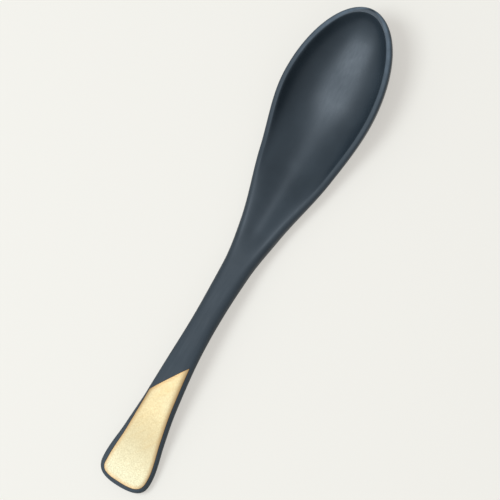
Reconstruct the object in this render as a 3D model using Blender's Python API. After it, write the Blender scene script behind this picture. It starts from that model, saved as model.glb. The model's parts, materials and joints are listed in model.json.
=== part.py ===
"""A carved wooden spoon in black lacquer, with a gold leaf panel set into the end of its handle.

The spoon lies as it rests on a table: the bowl's heel and the handle's end stand on z = 0, +Y runs from the
handle's end to the bowl's tip, and +Z is up. The origin is under the middle of its box. The wood core, the
lacquer coat round it and the leaf are lofts through the same sections, each a stated depth below the skin.
"""

from collections import namedtuple

import bmesh
import bpy
import numpy as np
from mathutils import Matrix

# Overall sizes, in metres.
HANDLE_LENGTH = 0.098  # from the handle's end to the neck
BOWL_LENGTH = 0.082  # from the neck to the tip
PADDLE_WIDTH = 0.0196  # the flared end of the handle
WAIST_WIDTH = 0.0092  # the slimmest part of the handle
NECK_WIDTH = 0.0154
BOWL_WIDTH = 0.0360

# The bowl.
BOWL_FLOOR = 0.0024  # thickness under the hollow
SHOULDER_FLOOR = 0.0026
RIM_WIDTH = 0.0018
RIM_RISE = 0.0008  # from the widest line of the wall up to the rim
RIM_ROUND = 0.0009  # how far the rim's outer rounding reaches in
LIP_SOFTNESS = 0.0014  # how far the rim's inner edge is eased
HOLLOW_SQUARENESS = 2.2  # across the hollow: 2 is an ellipse, and more has a flatter floor and steeper sides
TIP_ARC = 0.0325  # from the widest line of the bowl to the tip
SHOULDER_RISE = 0.0011  # the rim again, halfway from the neck to the bowl's widest line
SHOULDER_DROP = 0.0054  # from the widest line of the wall down to the back, there
BOWL_DROP = 0.0102  # and at the bowl's widest line
TIP_DROP = 0.0090

# The flared end of the handle.
PADDLE_ARC = 0.007  # from the end to its widest line
PADDLE_SQUARENESS = 3.0  # 2 is an ellipse, and more is squarer

# The layers.
COAT_THICKNESS = 0.0003
FIT_GAP = 0.0003  # between touching pieces
PANEL_MARGIN = 0.0010  # from the handle's right edge to the leaf
PANEL_LEFT_MARGIN = 0.0021  # and from its left edge, where the handle is widest
PANEL_NARROW_MARGIN = 0.0008  # and from its left edge where the leaf's slanting edge begins
PANEL_END_MARGIN = 0.0013  # and from the handle's end
PANEL_SHORT_SIDE = 0.0337  # where the leaf's slanting edge meets its left side, from the handle's end
PANEL_LONG_SIDE = 0.0467  # and its right side

# Stations along the spoon, from the handle's end.
SPOON_LENGTH = HANDLE_LENGTH + BOWL_LENGTH
NECK_AT = HANDLE_LENGTH
WIDEST_AT = SPOON_LENGTH - TIP_ARC
SHOULDER_AT = NECK_AT + 0.5 * (WIDEST_AT - NECK_AT)
HOLLOW_START = 0.86 * HANDLE_LENGTH
UPPER_NECK_AT = NECK_AT + 0.5 * (SHOULDER_AT - NECK_AT)
WHOLE_WIDTH = 1.0  # a rounding wider than any half section, so the section is a full ellipse

# The spoon's width in plan, as (station, width) keys between its two rounded ends.
WIDTHS = (
    (PADDLE_ARC, PADDLE_WIDTH),
    (0.20 * HANDLE_LENGTH, 0.81 * PADDLE_WIDTH),
    (0.33 * HANDLE_LENGTH, 0.64 * PADDLE_WIDTH),
    (0.64 * HANDLE_LENGTH, WAIST_WIDTH),
    (0.84 * HANDLE_LENGTH, WAIST_WIDTH + 0.21 * (NECK_WIDTH - WAIST_WIDTH)),
    (NECK_AT, NECK_WIDTH),
    (SHOULDER_AT, 0.78 * BOWL_WIDTH),
    (WIDEST_AT, BOWL_WIDTH),
)

# Sections that the body is lofted through: the height of the widest line, how far the upper face rises above
# it, how far the back drops below it, and how far in the upper and lower edges are rounded.
Section = namedtuple("Section", "at edge_height rise drop upper_round lower_round")
SECTIONS = (
    Section(0.0, 0.0018, 0.0015, 0.0019, 0.0030, 0.0040),
    Section(PADDLE_ARC, 0.0020, 0.0016, 0.00215, 0.0032, 0.0045),
    Section(0.29 * HANDLE_LENGTH, 0.0050, 0.0020, 0.0023, 0.0038, WHOLE_WIDTH),
    Section(0.51 * HANDLE_LENGTH, 0.00675, 0.0023, 0.0026, 0.0040, WHOLE_WIDTH),
    Section(0.71 * HANDLE_LENGTH, 0.00595, 0.0024, 0.0029, 0.0038, WHOLE_WIDTH),
    Section(NECK_AT, 0.0038, 0.0022, 0.0034, 0.0026, WHOLE_WIDTH),
    Section(SHOULDER_AT, 0.0053, SHOULDER_RISE, SHOULDER_DROP, 0.0014, WHOLE_WIDTH),
    Section(WIDEST_AT, 0.0100, RIM_RISE, BOWL_DROP, RIM_ROUND, WHOLE_WIDTH),
    Section(SPOON_LENGTH, 0.0127, RIM_RISE, TIP_DROP, RIM_ROUND, WHOLE_WIDTH),
)

# The hollow as (station, value) keys: how deep it lies below the rim, and how gently its sides roll off, from
# 0 for a steep bowl to 1 for a shallow trough. Then how square the upper edges are: an ellipse over the bowl.
HOLLOW_DEPTH = (
    (HOLLOW_START, 0.0),
    (NECK_AT, 0.0010),
    (UPPER_NECK_AT, 0.0022),
    (SHOULDER_AT, SHOULDER_RISE + SHOULDER_DROP - SHOULDER_FLOOR),
    (WIDEST_AT, RIM_RISE + BOWL_DROP - BOWL_FLOOR),
    (SPOON_LENGTH, RIM_RISE + TIP_DROP - BOWL_FLOOR),
)
HOLLOW_GENTLENESS = (
    (HOLLOW_START, 1.0),
    (UPPER_NECK_AT, 0.9),
    (SHOULDER_AT, 0.5),
    (WIDEST_AT, 0.0),
    (SPOON_LENGTH, 0.0),
)
UPPER_SQUARENESS = (
    (NECK_AT, 2.4),
    (SHOULDER_AT, 2.0),
)

# The leaf's margins as (station, margin) keys.
RIGHT_MARGINS = (
    (0.0, PANEL_END_MARGIN),
    (PADDLE_ARC, PANEL_MARGIN),
    (PANEL_LONG_SIDE, PANEL_MARGIN),
)
LEFT_MARGINS = (
    (0.0, PANEL_END_MARGIN),
    (PADDLE_ARC, PANEL_LEFT_MARGIN),
    (PANEL_SHORT_SIDE, PANEL_NARROW_MARGIN),
)

# Colours and roughnesses of the three layers.
WOOD = ((0.55, 0.36, 0.20), 0.60)
LACQUER = ((0.020, 0.026, 0.032), 0.42)
GOLD = ((0.93, 0.76, 0.46), 0.35)

# How the mesh is divided.
PADDLE_ROWS = 6
HANDLE_ROWS = 18
BOWL_ROWS = 14
TIP_ROWS = 12
RIM_STEPS = (0.18, 0.55, 1.0, 1.5)  # shares of the rim's width
HOLLOW_STEPS = (0.10, 0.26, 0.48, 0.74, 1.0)  # shares of the way from there to the middle
BACK_POINTS = 14
OUTLINE_POINTS = 240
MOST_RIM_SHARE = 0.5  # of half a section's width, near the ends where the rim would not fit
PRISM_HEIGHT = 0.010  # well over the handle's thickness
PRISM_REACH = 1.3  # of the leaf's long side, so that the slanting edge is cut from a longer outline
SHARP_ANGLE = np.radians(40)  # edges over this are drawn sharp
TINY = 1e-9  # keeps a share of nothing from dividing by zero


def fair_curve(keys, at, level_ends=False):
    """A smooth curve through (station, value) keys that never swings past a key, and may end level."""
    stations, values = np.array(keys, float).T
    gaps = np.diff(stations)
    rates = np.diff(values) / gaps
    slopes = np.zeros(len(values))
    for i in range(1, len(values) - 1):
        before, after = rates[i - 1], rates[i]
        if before * after > 0:
            near, far = 2 * gaps[i] + gaps[i - 1], gaps[i] + 2 * gaps[i - 1]
            slopes[i] = (near + far) / (near / before + far / after)
    if not level_ends:
        slopes[0], slopes[-1] = rates[0], rates[-1]
    at = np.clip(at, stations[0], stations[-1])
    i = np.clip(np.searchsorted(stations, at) - 1, 0, len(gaps) - 1)
    t = (at - stations[i]) / gaps[i]
    value = values[i] * (1 + 2 * t) * (1 - t) ** 2 + values[i + 1] * t * t * (3 - 2 * t)
    return value + gaps[i] * t * (1 - t) * (slopes[i] * (1 - t) - slopes[i + 1] * t)


def section_value(field, at):
    return fair_curve([(section.at, getattr(section, field)) for section in SECTIONS], at)


def rounding(share, squareness=2.0):
    """0 at an edge, 1 at the full width of its rounding, along a quarter of an ellipse."""
    share = np.clip(share, 0.0, 1.0)
    return (1 - (1 - share) ** squareness) ** (1 / squareness)


def half_width(at):
    """Half the spoon's width in plan."""
    body = fair_curve(WIDTHS, at, level_ends=True) / 2
    paddle = PADDLE_WIDTH / 2 * rounding(at / PADDLE_ARC, PADDLE_SQUARENESS)
    tip = BOWL_WIDTH / 2 * rounding((SPOON_LENGTH - at) / TIP_ARC)
    return np.where(at < PADDLE_ARC, paddle, np.where(at > WIDEST_AT, tip, body))


def stations_between(start, end, rows, crowd_start=False, crowd_end=False):
    """Stations from start up to end, crowded where the outline turns across the spoon."""
    share = np.arange(rows) / rows
    if crowd_start:
        share = 1 - np.cos(share * np.pi / 2)
    if crowd_end:
        share = np.sin(share * np.pi / 2)
    return start + (end - start) * share


def loft_stations():
    return np.concatenate([
        stations_between(0.0, PADDLE_ARC, PADDLE_ROWS, crowd_start=True),
        stations_between(PADDLE_ARC, NECK_AT, HANDLE_ROWS),
        stations_between(NECK_AT, WIDEST_AT, BOWL_ROWS),
        stations_between(WIDEST_AT, SPOON_LENGTH, TIP_ROWS, crowd_end=True),
        [SPOON_LENGTH],
    ])


def inset_outline(stations, depth):
    """The right-hand outline at each station, moved in by depth square to itself, as (x, y) rows."""
    step = 1e-6
    low, high = np.clip(stations - step, 0, SPOON_LENGTH), np.clip(stations + step, 0, SPOON_LENGTH)
    along = np.stack([half_width(high) - half_width(low), high - low], axis=1)
    along[0], along[-1] = (1, 0), (-1, 0)
    along /= np.linalg.norm(along, axis=1)[:, None]
    inward = np.stack([-along[:, 1], along[:, 0]], axis=1)
    return np.stack([half_width(stations), stations], axis=1) + np.reshape(depth, (-1, 1)) * inward


def outline_corners():
    """The whole outline as a closed run of points, for measuring from."""
    share = (1 - np.cos(np.linspace(0, np.pi, OUTLINE_POINTS))) / 2
    ends = np.concatenate([share * PADDLE_ARC, PADDLE_ARC + share * (WIDEST_AT - PADDLE_ARC),
                           WIDEST_AT + share * TIP_ARC])
    right = np.stack([half_width(ends), ends], axis=1)
    return np.concatenate([right, right[::-1] * (-1, 1)])


def depth_inside(points, corners):
    """How far each (x, y) point is from the outline."""
    run = np.roll(corners, -1, axis=0) - corners
    length = np.maximum((run ** 2).sum(axis=1), 1e-18)
    away = points[:, None, :] - corners[None, :, :]
    share = np.clip((away * run).sum(axis=2) / length, 0, 1)
    return np.sqrt(((away - share[..., None] * run) ** 2).sum(axis=2)).min(axis=1)


def heights(points, inset, corners):
    """The upper and lower surface, inset below the skin, over (x, y) points."""
    at = points[:, 1]
    depth = depth_inside(points, corners) - inset
    middle = depth_inside(points * (0, 1), corners) - inset
    edge = section_value("edge_height", at)
    widest = np.where(at > WIDEST_AT, BOWL_WIDTH / 2 - inset, middle)

    def rounded(field, squareness):
        width = np.maximum(np.minimum(section_value(field, at) - inset, widest), TINY)
        inner = np.maximum(np.minimum(width, middle), TINY)
        return rounding(middle / width, squareness) * rounding(depth / inner, squareness)

    lower = edge - (section_value("drop", at) - inset) * rounded("lower_round", 2.0)
    crown = (section_value("rise", at) - inset) * rounded("upper_round", fair_curve(UPPER_SQUARENESS, at))
    upper = edge + crown - hollow_below(at, depth, middle, inset)
    return upper, np.maximum(lower, inset)


def hollow_below(at, depth, middle, inset):
    """How far the hollow lies below the upper face; depth and middle are distances inside the edge."""
    inside = np.maximum(depth + 2 * inset - RIM_WIDTH, 0)
    inside_middle = np.maximum(middle + 2 * inset - RIM_WIDTH, TINY)
    full = np.where(at > WIDEST_AT, BOWL_WIDTH / 2 + inset - RIM_WIDTH, inside_middle)
    inner = np.minimum(full, inside_middle)
    trough = (1 - np.cos(np.pi * np.clip(inside / inner, 0, 1))) / 2
    bowl = rounding(inside ** 3 / (inside ** 2 + LIP_SOFTNESS ** 2) / inner, HOLLOW_SQUARENESS)
    gentle = fair_curve(HOLLOW_GENTLENESS, at)
    deepest = np.where(at > HOLLOW_START, fair_curve(HOLLOW_DEPTH, at), 0)
    return deepest * rounding(inside_middle / full) * (gentle * trough + (1 - gentle) * bowl)


def section_shares():
    """Where a section's points lie from the edge (0) to the middle (1), as (rim share, hollow share)."""
    return [(share, 0.0) for share in RIM_STEPS] + [(RIM_STEPS[-1], share) for share in HOLLOW_STEPS]


def loft_mesh(name, inset):
    """The spoon's body as a closed mesh whose surface lies inset below the finished skin."""
    corners = outline_corners()
    outline = inset_outline(loft_stations(), inset)
    rim = RIM_WIDTH - 2 * inset
    rings = []
    for half, at in outline[1:-1]:
        rim_here = min(rim, MOST_RIM_SHARE * half)
        across = [half - rim_here * a - (half - rim_here * a) * b for a, b in section_shares()]
        top = np.array([half] + across + [-x for x in across[-2::-1]] + [-half])
        turn = np.pi * np.arange(1, BACK_POINTS) / BACK_POINTS
        back = -half * np.cos(turn)
        over = np.stack([top[1:-1], np.full(len(top) - 2, at)], axis=1)
        under = np.stack([back, np.full(len(back), at)], axis=1)
        edge = float(section_value("edge_height", at))
        upper = heights(over, inset, corners)[0]
        lower = heights(under, inset, corners)[1]
        ring = [(half, at, edge)] + [(*p, z) for p, z in zip(over, upper)]
        ring += [(-half, at, edge)] + [(*p, z) for p, z in zip(under, lower)]
        rings.append(ring)

    bm = bmesh.new()
    verts = [[bm.verts.new((x, y - SPOON_LENGTH / 2, z)) for x, y, z in ring] for ring in rings]
    poles = []
    for at in (outline[0][1], outline[-1][1]):
        poles.append(bm.verts.new((0, at - SPOON_LENGTH / 2, float(section_value("edge_height", at)))))
    count = len(verts[0])
    for near, far in zip(verts, verts[1:]):
        for i in range(count):
            j = (i + 1) % count
            bm.faces.new((near[i], near[j], far[j], far[i]))
    for pole, ring in zip(poles, (verts[0], verts[-1])):
        for i in range(count):
            bm.faces.new((pole, ring[i], ring[(i + 1) % count]))
    bmesh.ops.recalc_face_normals(bm, faces=bm.faces)
    mesh = bpy.data.meshes.new(name)
    bm.to_mesh(mesh)
    bm.free()
    return mesh


def panel_outline(grow):
    """The leaf's outline in plan, let out by grow all round, as (x, y) points from the handle's end."""
    ends = np.concatenate([
        stations_between(0.0, PADDLE_ARC, 2 * PADDLE_ROWS, crowd_start=True),
        stations_between(PADDLE_ARC, PRISM_REACH * PANEL_LONG_SIDE, 2 * HANDLE_ROWS),
    ])
    stations = np.append(ends, SPOON_LENGTH)
    right, left = [inset_outline(stations, fair_curve(margins, stations) - grow)[:-1]
                   for margins in (RIGHT_MARGINS, LEFT_MARGINS)]
    ring = np.concatenate([left[::-1] * (-1, 1), right[1:]])
    left_end = np.array([-(half_width(PANEL_SHORT_SIDE) - PANEL_NARROW_MARGIN), PANEL_SHORT_SIDE])
    right_end = np.array([half_width(PANEL_LONG_SIDE) - PANEL_MARGIN, PANEL_LONG_SIDE])
    slant = (right_end - left_end) / np.linalg.norm(right_end - left_end)
    outward = np.array([-slant[1], slant[0]])
    above = (ring - left_end) @ outward - grow
    kept = []
    for i in range(len(ring)):
        j = (i + 1) % len(ring)
        if above[i] <= 0:
            kept.append(ring[i])
        if above[i] * above[j] < 0:
            kept.append(ring[i] + (ring[j] - ring[i]) * above[i] / (above[i] - above[j]))
    return kept


def panel_prism(name, grow, collection):
    """The leaf's outline as a solid that stands on the handle's middle and follows its slope."""
    curve = bpy.data.curves.new(name, "CURVE")
    curve.dimensions = "2D"
    curve.fill_mode = "BOTH"
    curve.extrude = PRISM_HEIGHT / 2
    spline = curve.splines.new("POLY")
    points = panel_outline(grow)
    spline.points.add(len(points) - 1)
    for point, (x, y) in zip(spline.points, points):
        point.co = (x, y, PRISM_HEIGHT / 2, 1)
    spline.use_cyclic_u = True
    guide = bpy.data.objects.new(name + "_outline", curve)
    bpy.context.scene.collection.objects.link(guide)
    bpy.context.view_layer.update()
    mesh = bpy.data.meshes.new_from_object(guide.evaluated_get(bpy.context.evaluated_depsgraph_get()))
    mesh.name = name
    bpy.data.objects.remove(guide)
    start, end = PANEL_END_MARGIN, PANEL_LONG_SIDE
    low, high = float(section_value("edge_height", start)), float(section_value("edge_height", end))
    slope = (high - low) / (end - start)
    lean = Matrix.Identity(4)
    lean[2][1] = slope
    lean[2][3] = low - slope * start
    mesh.transform(Matrix.Translation((0, -SPOON_LENGTH / 2, 0)) @ lean)
    bm = bmesh.new()
    bm.from_mesh(mesh)
    bmesh.ops.remove_doubles(bm, verts=bm.verts, dist=1e-6)
    bmesh.ops.recalc_face_normals(bm, faces=bm.faces)
    bm.to_mesh(mesh)
    bm.free()
    return add_object(name, mesh, collection)


def add_object(name, mesh, collection):
    added = bpy.data.objects.new(name, mesh)
    collection.objects.link(added)
    return added


def add_boolean(piece, operation, other):
    modifier = piece.modifiers.new(f"{operation.lower()} {other.name}", "BOOLEAN")
    modifier.operation = operation
    modifier.object = other
    modifier.solver = "EXACT"


def add_material(piece, name, finish, metallic=0.0):
    colour, roughness = finish
    material = bpy.data.materials.new(name)
    material.use_nodes = True
    shader = material.node_tree.nodes["Principled BSDF"]
    shader.inputs["Base Color"].default_value = (*colour, 1.0)
    shader.inputs["Roughness"].default_value = roughness
    shader.inputs["Metallic"].default_value = metallic
    piece.data.materials.append(material)


def add_collection(name):
    collection = bpy.data.collections.new(name)
    bpy.context.scene.collection.children.link(collection)
    return collection


def clear_scene():
    for old in list(bpy.data.objects):
        bpy.data.objects.remove(old, do_unlink=True)


def build_spoon():
    parts = add_collection("lacquered_spoon")
    cutters = add_collection("cutters")

    cavity = add_object("coat_cavity", loft_mesh("coat_cavity", COAT_THICKNESS), cutters)
    window = panel_prism("panel_window", FIT_GAP, cutters)
    leaf_block = panel_prism("leaf_block", 0.0, cutters)
    for cutter in cutters.objects:
        cutter.hide_render = True
        cutter.display_type = "WIRE"

    core = add_object("carved_wood_core", loft_mesh("carved_wood_core", COAT_THICKNESS + FIT_GAP), parts)
    add_material(core, "pale_hardwood", WOOD)

    coat = add_object("black_lacquer_coat", loft_mesh("black_lacquer_coat", 0.0), parts)
    add_boolean(coat, "DIFFERENCE", cavity)
    add_boolean(coat, "DIFFERENCE", window)
    add_material(coat, "satin_black_lacquer", LACQUER)

    leaf = add_object("gold_leaf_panel", loft_mesh("gold_leaf_panel", 0.0), parts)
    add_boolean(leaf, "INTERSECT", leaf_block)
    add_boolean(leaf, "DIFFERENCE", cavity)
    add_material(leaf, "gold_leaf", GOLD, metallic=1.0)

    for piece in parts.objects:
        piece.data.shade_smooth()
        piece.data.set_sharp_from_angle(angle=SHARP_ANGLE)


clear_scene()
build_spoon()
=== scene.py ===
import json
import math
import bpy
import numpy as np
from mathutils import Matrix, Vector

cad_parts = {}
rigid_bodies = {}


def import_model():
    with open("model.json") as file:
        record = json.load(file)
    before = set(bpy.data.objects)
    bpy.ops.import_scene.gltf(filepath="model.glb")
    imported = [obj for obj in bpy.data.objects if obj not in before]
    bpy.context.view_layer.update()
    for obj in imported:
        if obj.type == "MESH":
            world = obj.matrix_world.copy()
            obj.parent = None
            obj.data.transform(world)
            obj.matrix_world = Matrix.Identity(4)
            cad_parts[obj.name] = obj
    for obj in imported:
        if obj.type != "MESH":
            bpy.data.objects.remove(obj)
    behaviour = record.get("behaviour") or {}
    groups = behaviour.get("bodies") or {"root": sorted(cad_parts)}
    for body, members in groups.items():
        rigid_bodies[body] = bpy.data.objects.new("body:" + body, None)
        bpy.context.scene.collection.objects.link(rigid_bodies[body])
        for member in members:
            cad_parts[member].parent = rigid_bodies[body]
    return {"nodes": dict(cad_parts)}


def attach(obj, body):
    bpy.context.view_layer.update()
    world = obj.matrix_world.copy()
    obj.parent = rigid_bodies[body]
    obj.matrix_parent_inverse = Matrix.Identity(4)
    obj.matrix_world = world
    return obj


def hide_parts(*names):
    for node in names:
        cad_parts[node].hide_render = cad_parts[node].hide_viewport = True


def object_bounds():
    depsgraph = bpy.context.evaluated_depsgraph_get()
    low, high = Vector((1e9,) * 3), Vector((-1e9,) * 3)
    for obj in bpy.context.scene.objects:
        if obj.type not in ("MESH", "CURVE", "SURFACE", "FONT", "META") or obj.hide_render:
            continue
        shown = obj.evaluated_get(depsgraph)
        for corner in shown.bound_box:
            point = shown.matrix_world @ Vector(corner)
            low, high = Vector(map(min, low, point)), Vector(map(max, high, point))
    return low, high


# A carved wooden spoon in satin black lacquer, with gold leaf laid on the flared end of its handle.
# It lies on a pale table under a wide soft light, the bowl's tip away from the handle along +Y.

for old in list(bpy.data.objects):
    bpy.data.objects.remove(old, do_unlink=True)

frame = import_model()
cadLow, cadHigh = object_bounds()
mm = 0.001
print("frame loaded, box in mm:", [round(side / mm, 1) for side in cadHigh - cadLow])


def linear(hexColour):
    # sRGB hex to linear light, with an alpha of one
    parts = [int(hexColour[i:i + 2], 16) / 255 for i in (1, 3, 5)]
    return tuple(c / 12.92 if c <= 0.04045 else ((c + 0.055) / 1.055) ** 2.4 for c in parts) + (1.0,)


def addNode(tree, kind, settings=None, links=None, give=0):
    # settings are the node's own or its sockets', links lead into its sockets, and one output comes back
    node = tree.nodes.new("ShaderNode" + kind)
    for name, value in (settings or {}).items():
        if isinstance(name, str) and hasattr(node, name):
            setattr(node, name, value)
        else:
            node.inputs[name].default_value = value
    for name, source in (links or {}).items():
        tree.links.new(source, node.inputs[name])
    return node.outputs[give] if node.outputs else None


def newMaterial(name):
    material = bpy.data.materials.new(name)
    material.use_nodes = True
    material.node_tree.nodes.clear()
    place = addNode(material.node_tree, "TexCoord", give="Object")
    return material, material.node_tree, place


def perMetre(size):
    # a noise's scale for features about this many millimetres across
    return 1 / (size * mm)


def remapping(fromRange, toRange):
    return dict(zip(("From Min", "From Max", "To Min", "To Max"), (*fromRange, *toRange)))


def fairCurve(keys, at, levelEnds=False):
    # a smooth curve through (station, value) keys that never swings past a key
    stations, values = np.array(keys, float).T
    gaps = np.diff(stations)
    rates = np.diff(values) / gaps
    slopes = np.zeros(len(values))
    for i in range(1, len(values) - 1):
        before, after = rates[i - 1], rates[i]
        if before * after > 0:
            near, far = 2 * gaps[i] + gaps[i - 1], gaps[i] + 2 * gaps[i - 1]
            slopes[i] = (near + far) / (near / before + far / after)
    if not levelEnds:
        slopes[0], slopes[-1] = rates[0], rates[-1]
    at = np.clip(at, stations[0], stations[-1])
    i = np.clip(np.searchsorted(stations, at) - 1, 0, len(gaps) - 1)
    t = (at - stations[i]) / gaps[i]
    value = values[i] * (1 + 2 * t) * (1 - t) ** 2 + values[i + 1] * t * t * (3 - 2 * t)
    return value + gaps[i] * t * (1 - t) * (slopes[i] * (1 - t) - slopes[i + 1] * t)


def rounding(share, squareness=2.0):
    # 0 at an edge to 1 at the full width of its rounding, along a quarter of an ellipse
    share = np.clip(share, 0.0, 1.0)
    return (1 - (1 - share) ** squareness) ** (1 / squareness)


# The spoon's form, in millimetres from the handle's end. Its length and width come from the frame's box.
boxSize = (cadHigh - cadLow) / mm
spoonLength, bowlWidth = boxSize.y, boxSize.x

spoon = {
    "handleLength": 0.5444 * spoonLength,  # handle's end to neck
    "paddleWidth": 19.6,
    "waistWidth": 9.2,
    "neckWidth": 15.4,
    "tipArc": 32.5,  # widest line of the bowl to the tip
    "paddleArc": 7.0,  # handle's end to the widest line of its flare
    "paddleSquareness": 3.0,
    "topSquareness": 2.4,
    "rimWidth": 1.8,
    "rimRise": 0.8,
    "rimRound": 0.9,
    "shoulderRise": 1.1,
    "shoulderDrop": 5.4,  # from the widest line of the wall down to the back, halfway to the bowl's widest
    "bowlDrop": 10.2,  # and at the bowl's widest
    "tipDrop": 9.0,
    "lipSoftness": 1.4,  # how far the rim's inner edge is eased
    "hollowSquareness": 2.2,
    "hollowEntry": (4.0, 0.1),  # the hollow's first stretch along the neck, and its depth there
    "bowlFloor": 2.4,
    "shoulderFloor": 2.6,
}
neckAt = spoon["handleLength"]
widestAt = spoonLength - spoon["tipArc"]
shoulderAt = neckAt + 0.5 * (widestAt - neckAt)
upperNeckAt = neckAt + 0.5 * (shoulderAt - neckAt)
hollowStart = 0.86 * neckAt
paddleAt = spoon["paddleArc"]
wholeWidth = 1000.0  # a rounding wider than any half section, so the section is a full ellipse
tiny = 1e-6  # keeps a share of nothing from dividing by zero

plan = (  # station, width
    (paddleAt, spoon["paddleWidth"]),
    (0.20 * neckAt, 0.81 * spoon["paddleWidth"]),
    (0.33 * neckAt, 0.64 * spoon["paddleWidth"]),
    (0.64 * neckAt, spoon["waistWidth"]),
    (0.84 * neckAt, spoon["waistWidth"] + 0.21 * (spoon["neckWidth"] - spoon["waistWidth"])),
    (neckAt, spoon["neckWidth"]),
    (shoulderAt, 0.78 * bowlWidth),
    (widestAt, bowlWidth),
)
# station, height of the widest line, rise above it, drop below it, upper and lower edge rounding
sections = (
    (0.0, 1.8, 1.5, 1.9, 3.0, 4.0),
    (paddleAt, 2.0, 1.6, 2.15, 3.2, 4.5),
    (0.29 * neckAt, 5.0, 2.0, 2.3, 3.8, wholeWidth),
    (0.51 * neckAt, 6.75, 2.3, 2.6, 4.0, wholeWidth),
    (0.71 * neckAt, 5.95, 2.4, 2.9, 3.8, wholeWidth),
    (neckAt, 3.8, 2.2, 3.4, 2.6, wholeWidth),
    (shoulderAt, 5.3, spoon["shoulderRise"], spoon["shoulderDrop"], 1.4, wholeWidth),
    (widestAt, 10.0, spoon["rimRise"], spoon["bowlDrop"], spoon["rimRound"], wholeWidth),
    (spoonLength, 12.7, spoon["rimRise"], spoon["tipDrop"], spoon["rimRound"], wholeWidth),
)
edgeHeight, rise, drop, upperRound, lowerRound = range(1, 6)  # the columns of a section
hollowDepth = (  # station, depth below the rim
    (hollowStart, 0.0),
    (hollowStart + spoon["hollowEntry"][0], spoon["hollowEntry"][1]),
    (neckAt, 1.0),
    (upperNeckAt, 2.2),
    (shoulderAt, spoon["shoulderDrop"] + spoon["shoulderRise"] - spoon["shoulderFloor"]),
    (widestAt, spoon["bowlDrop"] + spoon["rimRise"] - spoon["bowlFloor"]),
    (spoonLength, spoon["tipDrop"] + spoon["rimRise"] - spoon["bowlFloor"]),
)
# station, and how gently the hollow's sides roll off, from 0 for a steep bowl to 1 for a shallow trough
hollowGentleness = (
    (hollowStart, 1.0),
    (upperNeckAt, 0.9),
    (shoulderAt, 0.5),
    (widestAt, 0.0),
    (spoonLength, 0.0),
)
upperSquareness = ((neckAt, spoon["topSquareness"]), (shoulderAt, 2.0))


def sectionValue(column, at):
    return float(fairCurve([(row[0], row[column]) for row in sections], at))


def halfWidth(at):
    body = fairCurve(plan, at, levelEnds=True) / 2
    flare = spoon["paddleWidth"] / 2 * rounding(at / paddleAt, spoon["paddleSquareness"])
    tip = bowlWidth / 2 * rounding((spoonLength - at) / spoon["tipArc"])
    return np.where(at < paddleAt, flare, np.where(at > widestAt, tip, body))


def outlinePoints(count=360):
    # the right half of the outline, with the points crowded where its stretches meet
    share = (1 - np.cos(np.linspace(0, np.pi, count))) / 2
    stations = np.concatenate([share * paddleAt, paddleAt + share * (widestAt - paddleAt),
                               widestAt + share * spoon["tipArc"]])
    return np.stack([halfWidth(stations), stations], axis=1)


outline = outlinePoints()


def distanceTo(line, x, at):
    # from points x of the section at one station to the nearest point of a line of corners
    start, run = line[:-1], np.diff(line, axis=0)
    length = np.maximum((run ** 2).sum(axis=1), 1e-12)
    away = np.stack([x, np.full(np.shape(x), at)], axis=-1)[:, None, :] - start[None]
    share = np.clip((away * run).sum(axis=2) / length, 0, 1)
    return np.sqrt(((away - share[..., None] * run) ** 2).sum(axis=2)).min(axis=1)


def depthInside(x, at):
    # both halves of the outline are alike, and only its nearer stretch can be closest
    near = np.abs(outline[:, 1] - at) < 0.55 * bowlWidth
    return distanceTo(outline[near], np.abs(x), at)


def hollowBelow(at, depth, middle):
    # how far the hollow lies below the upper face; depth and middle are distances inside the edge
    gentle = float(fairCurve(hollowGentleness, at))
    inside = np.maximum(depth - spoon["rimWidth"], 0)
    insideMiddle = max(middle - spoon["rimWidth"], tiny)
    full = bowlWidth / 2 - spoon["rimWidth"] if at > widestAt else insideMiddle
    inner = min(full, insideMiddle)
    trough = (1 - np.cos(np.pi * np.clip(inside / inner, 0, 1))) / 2
    eased = inside ** 3 / (inside ** 2 + spoon["lipSoftness"] ** 2)
    steep = rounding(eased / inner, spoon["hollowSquareness"])
    across = gentle * trough + (1 - gentle) * steep
    return float(fairCurve(hollowDepth, at)) * rounding(insideMiddle / full) * across


def surface(x, at):
    # upper and lower heights over points x of the section at one station
    x = np.atleast_1d(np.asarray(x, float))
    depth = depthInside(x, at)
    middle = depthInside(np.zeros(1), at)[0]
    widest = bowlWidth / 2 if at > widestAt else middle

    def rounded(column, squareness):
        width = max(min(sectionValue(column, at), widest), tiny)
        inner = max(min(width, middle), tiny)
        return rounding(middle / width, squareness) * rounding(depth / inner, squareness)

    edge = sectionValue(edgeHeight, at)
    lower = edge - sectionValue(drop, at) * rounded(lowerRound, 2.0)
    upper = edge + sectionValue(rise, at) * rounded(upperRound, float(fairCurve(upperSquareness, at)))
    if at > hollowStart:
        upper = upper - hollowBelow(at, depth, middle)
    return upper, np.maximum(lower, 0)


def toFrame(points):
    # millimetres from the handle's end to metres in the frame
    return np.asarray(points, float) * mm + (0, cadLow.y, cadLow.z)


def shareRows(start, end, rows, crowdStart=False, crowdEnd=False):
    share = np.arange(rows) / rows
    if crowdStart:
        share = 1 - np.cos(share * np.pi / 2)
    if crowdEnd:
        share = np.sin(share * np.pi / 2)
    return start + (end - start) * share


def gridFaces(rows, columns, closed):
    # quads over a grid of points stored row by row, joined round to the first column when closed
    i = np.arange(columns if closed else columns - 1)
    near, i = np.meshgrid(np.arange(rows - 1) * columns, i, indexing="ij")
    j, far = (i + 1) % columns, near + columns
    return np.stack([near + i, near + j, far + j, far + i], axis=-1).reshape(-1, 4).tolist()


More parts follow.
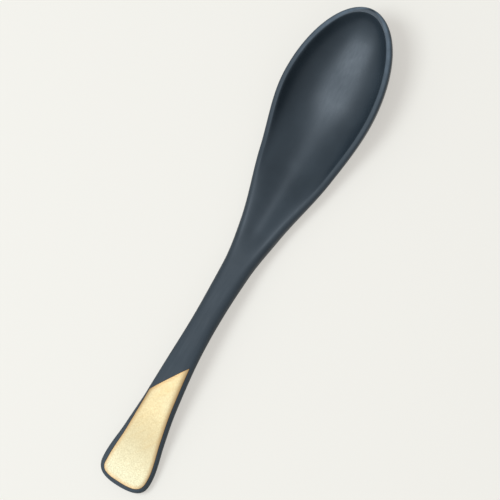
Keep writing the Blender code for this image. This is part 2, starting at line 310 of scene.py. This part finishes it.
def meshObject(name, points, faces, values=None):
    # values are numbers for each point, kept as attributes for the materials
    mesh = bpy.data.meshes.new(name)
    mesh.from_pydata(points.tolist(), [], faces)
    mesh.shade_smooth()
    for label, numbers in (values or {}).items():
        marks = mesh.attributes.new(label, "FLOAT", "POINT")
        marks.data.foreach_set("value", np.asarray(numbers, np.float32))
    made = bpy.data.objects.new(name, mesh)
    bpy.context.scene.collection.objects.link(made)
    return made


skin = {
    "rows": (70, 230, 150, 110),  # paddle, handle, lower bowl, tip
    "rimPoints": 34,
    "hollowPoints": 30,
    "backPoints": 110,
    "rimReach": 2.6,  # rim widths that the closer points cover
    "rimShare": 0.6,  # of half a section that they may cover
    "wearAndHighlightReach": 2.4,  # mm in from the edge that use has rubbed, and over which the rim's painted highlight lies
    # wear along the rim's crest, together with a painted highlight there that grows towards the tip
    "wearAndHighlight": ((0.0, 0.15), (neckAt, 0.0), (shoulderAt, 0.0), (widestAt, 0.1), (spoonLength, 0.9)),
}


def buildSkin():
    paddleRows, handleRows, bowlRows, tipRows = skin["rows"]
    stations = np.concatenate([
        shareRows(0, paddleAt, paddleRows, crowdStart=True)[1:],
        shareRows(paddleAt, neckAt, handleRows),
        shareRows(neckAt, widestAt, bowlRows),
        shareRows(widestAt, spoonLength, tipRows, crowdEnd=True),
    ])
    rimShare = 1 - np.cos(np.linspace(0, np.pi / 2, skin["rimPoints"]))  # crowded at the edge
    hollowShare = np.linspace(0, 1, skin["hollowPoints"])[1:]
    backShare = np.cos(np.pi * np.arange(1, skin["backPoints"]) / skin["backPoints"])
    points, wearAndHighlight, rim = [], [], []
    for at in stations:
        half, edge = float(halfWidth(at)), sectionValue(edgeHeight, at)
        reach = min(skin["rimReach"] * spoon["rimWidth"], skin["rimShare"] * half)
        right = half - np.concatenate([reach * rimShare, reach + (half - reach) * hollowShare])
        top = np.concatenate([right, -right[-2::-1]])[1:-1]
        back = -half * backShare
        upper, lower = surface(top, at)[0], surface(back, at)[1]
        x = np.concatenate([[half], top, [-half], back])
        z = np.concatenate([[edge], upper, [edge], lower])
        points.append(np.stack([x, np.full(len(x), at), z], axis=1))
        fromEdge = (half - np.abs(x)) / skin["wearAndHighlightReach"]
        crest = np.clip(1 - (2 * fromEdge - 1) ** 2, 0, 1)  # along the rim's crest, fading to both sides
        crest = np.where(np.arange(len(x)) <= len(top) + 1, crest, 0)  # and not on the back
        wearAndHighlight.append(fairCurve(skin["wearAndHighlight"], at) * crest)
        rim.append(crest * np.clip((at - hollowStart) / (shoulderAt - hollowStart), 0, 1))
    columns = len(points[0])
    faces = gridFaces(len(points), columns, closed=True)
    ends = [[0, at, sectionValue(edgeHeight, at)] for at in (0.0, spoonLength)]
    first, last = len(points) * columns, (len(points) - 1) * columns
    for i in range(columns):
        j = (i + 1) % columns
        faces.append([first, j, i])
        faces.append([first + 1, last + i, last + j])
    points = np.concatenate([*points, ends])
    marks = {"edgeWearAndHighlight": np.concatenate([*wearAndHighlight, [0, 0]]), "rimCrest": np.concatenate([*rim, [0, 0]])}
    return meshObject("lacquered_skin", toFrame(points), faces, marks)


lacquer = {
    "body": "#262f35",  # black with the cool cast of a thin oil film
    "thin": "#2d363c",  # where rubbing has thinned the top coat
    # paler rubbed lacquer on the rim's crest, which also stands in for a painted highlight there
    "rubbedEdgeAndHighlight": "#6a7781",
    "scuff": "#4a5054",
    "ior": 1.52,
    "roughness": 0.40,
    "roughnessSwing": 0.05,
    "polishSwing": 0.03,
    "handling": 0.20,  # roughness that hands have added to the handle
    "handlingFrom": (10.0, -25.0),  # mm along the spoon from its middle, over which that comes in
    "rimDulling": 0.22,  # roughness that use has added to the rim's crest
    "cloudSize": 13.0,  # mm, hand-rubbed patches
    "patchSize": 2.5,  # mm, breaks in the rubbed edge
    "waveSize": 7.0,  # mm, slow undulation of the ground coat
    "waveHeight": 0.02,
    "grainSize": 0.35,  # mm, dust nibs and brush texture
    "grainHeight": 0.006,
    "polishSize": 0.5,  # mm across the polishing lines, which run along the spoon
    "polishStretch": (1.0, 22.0, 1.0),
    "polishHeight": 0.0025,
    "scuffSize": 1.6,  # mm, marks where it rests on the table
    "scuffStretch": (1.0, 3.0, 1.0),
    "scuffTurn": 20.0,
    "scuffReach": 0.35,  # mm above the table
    "scuffRoughness": 0.2,
}


def satinUrushiLacquer():
    # Urushi lacquer, brushed on and rubbed back: deep black with a cool cast, soft wide highlights, edges
    # rubbed a little paler by use and painted paler still as a highlight along the rim, and dulled along the
    # rim, by hands and where it rests on the table.
    material, tree, place = newMaterial("satin_urushi_lacquer")
    parts = {"Vector": place}
    clouds = addNode(tree, "TexNoise", {"Scale": perMetre(lacquer["cloudSize"]), "Detail": 3.0}, parts)
    waves = addNode(tree, "TexNoise", {"Scale": perMetre(lacquer["waveSize"]), "Detail": 1.0}, parts)
    grain = addNode(tree, "TexNoise", {"Scale": perMetre(lacquer["grainSize"]), "Detail": 4.0}, parts)
    patches = addNode(tree, "TexNoise", {"Scale": perMetre(lacquer["patchSize"]), "Detail": 4.0}, parts)
    drawnOut = addNode(tree, "Mapping", {"vector_type": "TEXTURE", "Scale": lacquer["polishStretch"]}, parts)
    polish = addNode(tree, "TexNoise", {"Scale": perMetre(lacquer["polishSize"]), "Detail": 3.0},
                     {"Vector": drawnOut})
    slanting = addNode(tree, "Mapping", {"vector_type": "TEXTURE", "Scale": lacquer["scuffStretch"],
                                         "Rotation": (0, 0, math.radians(lacquer["scuffTurn"]))}, parts)
    marks = addNode(tree, "TexNoise", {"Scale": perMetre(lacquer["scuffSize"]), "Detail": 6.0},
                    {"Vector": slanting})

    # how much of each kind of wear, and of the painted rim highlight, there is, from 0 to 1
    edgeWearAndHighlight = addNode(tree, "Attribute", {"attribute_name": "edgeWearAndHighlight"}, give="Fac")
    rimCrest = addNode(tree, "Attribute", {"attribute_name": "rimCrest"}, give="Fac")
    broken = addNode(tree, "MapRange", remapping((0.35, 0.65), (0.65, 1.0)), {"Value": patches})
    rubbedAndHighlighted = addNode(tree, "Math", {"operation": "MULTIPLY"}, {0: edgeWearAndHighlight, 1: broken})
    height = addNode(tree, "SeparateXYZ", {}, parts, give="Z")
    scuffTop = cadLow.z + lacquer["scuffReach"] * mm
    resting = addNode(tree, "MapRange", remapping((cadLow.z, scuffTop), (1.0, 0.0)), {"Value": height})
    scuffs = addNode(tree, "MapRange", remapping((0.50, 0.62), (0.0, 1.0)), {"Value": marks})
    scuffed = addNode(tree, "Math", {"operation": "MULTIPLY"}, {0: resting, 1: scuffs})

    thinned = addNode(tree, "MapRange", remapping((0.35, 0.65), (0.0, 1.0)), {"Value": clouds})
    body, thin = linear(lacquer["body"]), linear(lacquer["thin"])
    colour = addNode(tree, "Mix", {"data_type": "RGBA", 6: body, 7: thin}, {0: thinned}, give=2)
    # the rubbed edge's paler colour is both wear and a painted highlight along the rim's crest
    for share, worn in ((rubbedAndHighlighted, "rubbedEdgeAndHighlight"), (scuffed, "scuff")):
        colour = addNode(tree, "Mix", {"data_type": "RGBA", 7: linear(lacquer[worn])},
                         {0: share, 6: colour}, give=2)

    swing, polishSwing = lacquer["roughnessSwing"], lacquer["polishSwing"]
    roughRange = (lacquer["roughness"] - swing, lacquer["roughness"] + swing)
    rough = addNode(tree, "MapRange", remapping((0.30, 0.70), roughRange), {"Value": clouds})
    lines = addNode(tree, "MapRange", remapping((0.3, 0.7), (-polishSwing, polishSwing)), {"Value": polish})
    dulled = addNode(tree, "Math", {"operation": "MULTIPLY", 1: lacquer["scuffRoughness"]}, {0: scuffed})
    along = addNode(tree, "SeparateXYZ", {}, parts, give="Y")
    handleRange = [y * mm for y in lacquer["handlingFrom"]]
    handled = addNode(tree, "MapRange", remapping(handleRange, (0.0, lacquer["handling"])), {"Value": along})
    rimDulled = addNode(tree, "Math", {"operation": "MULTIPLY", 1: lacquer["rimDulling"]}, {0: rimCrest})
    for added in (lines, dulled, handled, rimDulled):
        rough = addNode(tree, "Math", {"operation": "ADD"}, {0: rough, 1: added})

    normal = addNode(tree, "Bump", {"Distance": lacquer["waveHeight"] * mm}, {"Height": waves})
    for texture, depth in ((polish, "polishHeight"), (grain, "grainHeight")):
        normal = addNode(tree, "Bump", {"Distance": lacquer[depth] * mm},
                         {"Height": texture, "Normal": normal})
    shader = addNode(tree, "BsdfPrincipled", {"IOR": lacquer["ior"]},
                     {"Base Color": colour, "Roughness": rough, "Normal": normal})
    addNode(tree, "OutputMaterial", {}, {"Surface": shader})
    return material


leaf = {
    "shortSide": 33.7,  # where its slanting edge starts on the left, from the handle's end
    "longSide": 46.7,  # and ends on the right
    "endMargin": 1.3,  # mm in from the handle's end
    "rightMargin": 1.0,
    "leftMargin": 2.1,  # at the flare's widest
    "narrowMargin": 0.8,  # on the left where the slanting edge starts
    "thickness": 0.05,  # above the lacquer
    "sink": 0.15,  # how far its edge reaches down
    "rows": 240,
    "columns": 70,
    "sidePoints": (60, 200),  # round the flare's end, and along its side
    "clearance": (0.002, 0.02),  # mm left at its lowest and highest points, so that no row is a point
    "pale": "#dac498",
    "warm": "#d9bb88",
    # warmer, darker gold at the border: painted shade where the leaf rolls over the handle's rounded edge
    "edge": "#cca06b",
    "worn": "#d5c6a2",  # paler where the handle's end is rubbed most
    "wornReach": (5.0, 22.0),  # mm from the handle's end, over which that fades
    "size": "#5a4128",  # a dark brown hairline round its border
    "edgeShadeReach": 1.5,  # mm over which the painted shade at the border fades in
    "edgeShadeStrength": 0.8,
    "hairlineReach": 0.14,
    "roughness": 0.58,
    "roughnessSwing": 0.05,
    "driftSize": 8.0,
    "layingSize": 1.4,  # mm across the laying lines
    "layingStretch": (14.0, 1.0, 1.0),
    "layingTurn": 52.0,
    "layingHeight": 0.01,
    "wrinkleSize": 0.45,
    "wrinkleHeight": 0.006,
}


def insetPoints(stations, margins):
    # the right-hand outline, moved in by the margin at each station
    depth = fairCurve(margins, stations)[:, None]
    step = 1e-3
    low, high = np.maximum(stations - step, 0), np.minimum(stations + step, spoonLength)
    along = np.stack([halfWidth(high) - halfWidth(low), high - low], axis=1)
    along[stations <= 0] = (1, 0)
    along /= np.linalg.norm(along, axis=1)[:, None]
    inward = np.stack([-along[:, 1], along[:, 0]], axis=1)
    return np.stack([halfWidth(stations), stations], axis=1) + depth * inward


def widthAt(side, at):
    return float(np.interp(at, side[:, 1], side[:, 0]))


def leafRim(rows, columns):
    # the grid's border as a ring of point numbers
    ring = list(range(columns)) + [row * columns + columns - 1 for row in range(1, rows)]
    ring += list(range(rows * columns - 2, (rows - 1) * columns - 1, -1))
    return ring + [row * columns for row in range(rows - 2, 0, -1)]


def buildLeaf():
    shortSide, longSide = leaf["shortSide"], leaf["longSide"]
    roundPoints, straightPoints = leaf["sidePoints"]
    ends = np.concatenate([shareRows(0, paddleAt, roundPoints, crowdStart=True),
                           shareRows(paddleAt, 1.3 * longSide, straightPoints)])
    end = (0.0, leaf["endMargin"])
    rightSide = insetPoints(ends, (end, (paddleAt, leaf["rightMargin"]), (longSide, leaf["rightMargin"])))
    leftSide = insetPoints(ends, (end, (paddleAt, leaf["leftMargin"]), (shortSide, leaf["narrowMargin"])))
    edgeLine = np.concatenate([leftSide[::-1] * (-1, 1), rightSide])
    left = np.array([-widthAt(leftSide, shortSide), shortSide])
    right = np.array([widthAt(rightSide, longSide), longSide])
    slant = (right - left) / np.linalg.norm(right - left)
    bottom, top = rightSide[0, 1] + leaf["clearance"][0], right[1] - leaf["clearance"][1]
    points, border = [], []
    for at in bottom + (top - bottom) * (1 - np.cos(np.linspace(0, 0.5 * np.pi, leaf["rows"]))):
        start = max(-widthAt(leftSide, at), left[0] + slant[0] / slant[1] * (at - left[1]))
        across = np.linspace(start, widthAt(rightSide, at), leaf["columns"])
        upper = surface(across, at)[0] + leaf["thickness"]
        points.append(np.stack([across, np.full(len(across), at), upper], axis=1))
        fromSlant = (across - left[0]) * slant[1] - (at - left[1]) * slant[0]
        border.append(np.minimum(distanceTo(edgeLine, across, at), np.maximum(fromSlant, 0)))
    faces = gridFaces(len(points), leaf["columns"], closed=False)
    rim = leafRim(len(points), leaf["columns"])
    points, border = np.concatenate(points), np.concatenate(border)
    count = len(points)
    for i in range(len(rim)):
        j = (i + 1) % len(rim)
        faces.append([rim[j], rim[i], count + i, count + j])
    skirt = points[rim] - (0, 0, leaf["sink"])
    border = np.concatenate([border, np.zeros(len(rim))])
    return meshObject("gold_leaf", toFrame(np.concatenate([points, skirt])), faces, {"fromBorder": border})


def beatenGoldLeaf():
    # Beaten gold leaf burnished by hand: pale, creamy shine, warmer at its border with painted shade where it
    # rolls
    #  over the handle's rounded edge, faint slanting laying lines, fine wrinkles and a dark brown hairline
    #  round it.
    material, tree, place = newMaterial("beaten_gold_leaf")
    parts = {"Vector": place}
    border = addNode(tree, "Attribute", {"attribute_name": "fromBorder"}, give="Fac")
    drift = addNode(tree, "TexNoise", {"Scale": perMetre(leaf["driftSize"]), "Detail": 2.0}, parts)
    wrinkles = addNode(tree, "TexNoise", {"Scale": perMetre(leaf["wrinkleSize"]), "Detail": 5.0}, parts)
    slanting = addNode(tree, "Mapping", {"vector_type": "TEXTURE", "Scale": leaf["layingStretch"],
                                         "Rotation": (0, 0, math.radians(leaf["layingTurn"]))}, parts)
    laying = addNode(tree, "TexNoise", {"Scale": perMetre(leaf["layingSize"]), "Detail": 2.0},
                     {"Vector": slanting})

    drifting = addNode(tree, "MapRange", remapping((0.35, 0.70), (0.0, 0.5)), {"Value": drift})
    lined = addNode(tree, "MapRange", remapping((0.50, 0.70), (0.0, 0.45)), {"Value": laying})
    warmth = addNode(tree, "Math", {"operation": "ADD"}, {0: drifting, 1: lined})
    along = addNode(tree, "SeparateXYZ", {}, parts, give="Y")
    wornRange = [cadLow.y + at * mm for at in leaf["wornReach"]]
    worn = addNode(tree, "MapRange", remapping(wornRange, (1.0, 0.0)), {"Value": along})
    # painted shade along the leaf's border
    edgeShaded = addNode(tree, "MapRange", remapping((0.0, leaf["edgeShadeReach"]), (leaf["edgeShadeStrength"], 0.0)),
                    {"Value": border})
    hairlined = addNode(tree, "MapRange", remapping((0.5 * leaf["hairlineReach"], leaf["hairlineReach"]), (1.0, 0.0)),
                    {"Value": border})
    pale, warm = linear(leaf["pale"]), linear(leaf["warm"])
    colour = addNode(tree, "Mix", {"data_type": "RGBA", 6: pale, 7: warm}, {0: warmth}, give=2)
    for share, tone in ((worn, "worn"), (edgeShaded, "edge"), (hairlined, "size")):
        colour = addNode(tree, "Mix", {"data_type": "RGBA", 7: linear(leaf[tone])},
                         {0: share, 6: colour}, give=2)

    swing = leaf["roughnessSwing"]
    wrinkled = addNode(tree, "MapRange", remapping((0.3, 0.7), (-swing, swing)), {"Value": wrinkles})
    rough = addNode(tree, "Math", {"operation": "ADD", 1: leaf["roughness"]}, {0: wrinkled})
    lines = addNode(tree, "Bump", {"Distance": leaf["layingHeight"] * mm}, {"Height": laying})
    normal = addNode(tree, "Bump", {"Distance": leaf["wrinkleHeight"] * mm},
                     {"Height": wrinkles, "Normal": lines})
    shader = addNode(tree, "BsdfPrincipled", {"Metallic": 1.0},
                     {"Base Color": colour, "Roughness": rough, "Normal": normal})
    addNode(tree, "OutputMaterial", {}, {"Surface": shader})
    return material


wood = {
    "pale": "#d9b98c",
    "dark": "#a97c4e",
    "grainSize": 1.2,  # mm across the growth lines, which run along the spoon
    "grainStretch": (1.0, 12.0, 1.0),
    "grainHeight": 0.02,
    "roughness": 0.6,
}


def carvedMaple():
    # Close-grained maple, carved and sanded: pale tan with fine darker growth lines along the handle.
    material, tree, place = newMaterial("carved_maple")
    drawnOut = addNode(tree, "Mapping", {"vector_type": "TEXTURE", "Scale": wood["grainStretch"]},
                       {"Vector": place})
    grain = addNode(tree, "TexNoise", {"Scale": perMetre(wood["grainSize"]), "Detail": 5.0},
                    {"Vector": drawnOut})
    pale, dark = linear(wood["pale"]), linear(wood["dark"])
    colour = addNode(tree, "Mix", {"data_type": "RGBA", 6: pale, 7: dark}, {0: grain}, give=2)
    normal = addNode(tree, "Bump", {"Distance": wood["grainHeight"] * mm}, {"Height": grain})
    shader = addNode(tree, "BsdfPrincipled", {"Roughness": wood["roughness"]},
                     {"Base Color": colour, "Normal": normal})
    addNode(tree, "OutputMaterial", {}, {"Surface": shader})
    return material


skinPiece = buildSkin()
skinPiece.data.materials.append(satinUrushiLacquer())
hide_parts("black_lacquer_coat")
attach(skinPiece, "root")
print("lacquered skin:", len(skinPiece.data.polygons), "faces")

leafPiece = buildLeaf()
leafPiece.data.materials.append(beatenGoldLeaf())
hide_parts("gold_leaf_panel")
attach(leafPiece, "root")
print("gold leaf:", len(leafPiece.data.polygons), "faces")

core = frame["nodes"]["carved_wood_core"]
core.data.materials.clear()
core.data.materials.append(carvedMaple())
print("wood core finished")


table = {
    "colour": "#b2ab9f",
    "size": 4.0,
    "gap": 0.2,  # mm under the spoon
    "roughness": 0.85,
    "sheen": 0.2,  # how much it mirrors
    "glow": 0.50,  # lit from beneath, which lifts its shadows
    "glowColour": "#fffbf5",
    "fibreSize": 1.5,
    "fibreHeight": 0.006,
}


def mattCard():
    # Matt card: an even pale sheet with only a breath of fibre.
    material, tree, place = newMaterial("matt_card")
    fibre = addNode(tree, "TexNoise", {"Scale": perMetre(table["fibreSize"]), "Detail": 4.0},
                    {"Vector": place})
    normal = addNode(tree, "Bump", {"Distance": table["fibreHeight"] * mm}, {"Height": fibre})
    shader = addNode(tree, "BsdfPrincipled", {
        "Base Color": linear(table["colour"]), "Roughness": table["roughness"],
        "Specular IOR Level": table["sheen"], "Emission Color": linear(table["glowColour"]),
        "Emission Strength": table["glow"]}, {"Normal": normal})
    addNode(tree, "OutputMaterial", {}, {"Surface": shader})
    return material


def buildTable():
    half = table["size"] / 2
    low = cadLow.z - table["gap"] * mm
    corners = np.array([(-half, -half, low), (half, -half, low), (half, half, low), (-half, half, low)])
    floor = meshObject("table", corners, [[0, 1, 2, 3]])
    floor.data.materials.append(mattCard())


studio = {
    "keyPower": 5.45,
    "keySize": (0.44, 0.52),
    "keyPlace": (-0.30, -0.19, 0.88),
    "keyColour": "#e2f1ff",
    "skyColour": "#eaf3fc",
    "skyToward": (-0.22, -0.50, 0.84),
    "skyBright": 0.70,  # overhead, a little to the spoon's left
    "skyDim": 0.34,  # near the horizon
    "skyRange": (-0.10, 0.95),  # of the cosine from there, over which it brightens
    "elevation": 70.0,  # camera above the table, on the spoon's right
    "lean": 60.6,  # the spoon's axis in the picture, up to the right
    "lens": 135.0,
    "fieldWidth": 167.0,  # mm across the picture
    "aim": (-0.9, 0.7),  # mm across and along the spoon, in the picture's plane
    "aimHeight": 6.0,
}


def buildLight():
    world = bpy.data.worlds.new("studio")
    bpy.context.scene.world = world
    world.use_nodes = True
    tree = world.node_tree
    way = addNode(tree, "TexCoord", give="Generated")
    side = addNode(tree, "VectorMath", {"operation": "DOT_PRODUCT", 1: studio["skyToward"]}, {0: way},
                   give="Value")
    brightness = (studio["skyDim"], studio["skyBright"])
    strength = addNode(tree, "MapRange", remapping(studio["skyRange"], brightness), {"Value": side})
    background = tree.nodes["Background"]
    background.inputs["Color"].default_value = linear(studio["skyColour"])
    tree.links.new(strength, background.inputs["Strength"])

    data = bpy.data.lights.new("overhead_softbox", "AREA")
    data.shape = "RECTANGLE"
    data.size, data.size_y = studio["keySize"]
    data.energy = studio["keyPower"]
    data.color = linear(studio["keyColour"])[:3]
    lamp = bpy.data.objects.new("overhead_softbox", data)
    lamp.location = studio["keyPlace"]
    lamp.rotation_mode = "QUATERNION"
    lamp.rotation_quaternion = (-lamp.location).to_track_quat("-Z", "Y")
    bpy.context.scene.collection.objects.link(lamp)
    bpy.context.scene.view_settings.view_transform = "Standard"


def buildCamera():
    elevation, lean = math.radians(studio["elevation"]), math.radians(studio["lean"])
    along = Vector((0, 1, 0))
    across = Vector((math.sin(elevation), 0, -math.cos(elevation)))
    back = Vector((math.cos(elevation), 0, math.sin(elevation)))
    right = math.cos(lean) * along + math.sin(lean) * across
    up = math.sin(lean) * along - math.cos(lean) * across
    data = bpy.data.cameras.new("camera")
    data.lens = studio["lens"]
    distance = studio["fieldWidth"] * mm * data.lens / data.sensor_width
    aim = (across * studio["aim"][0] + along * studio["aim"][1] + back * studio["aimHeight"]) * mm
    camera = bpy.data.objects.new("camera", data)
    turned = Matrix((right, up, back)).transposed().to_4x4()
    camera.matrix_world = Matrix.Translation(aim + back * distance) @ turned
    bpy.context.scene.collection.objects.link(camera)
    bpy.context.scene.camera = camera


buildTable()
buildLight()
buildCamera()
print("table, light and camera placed")
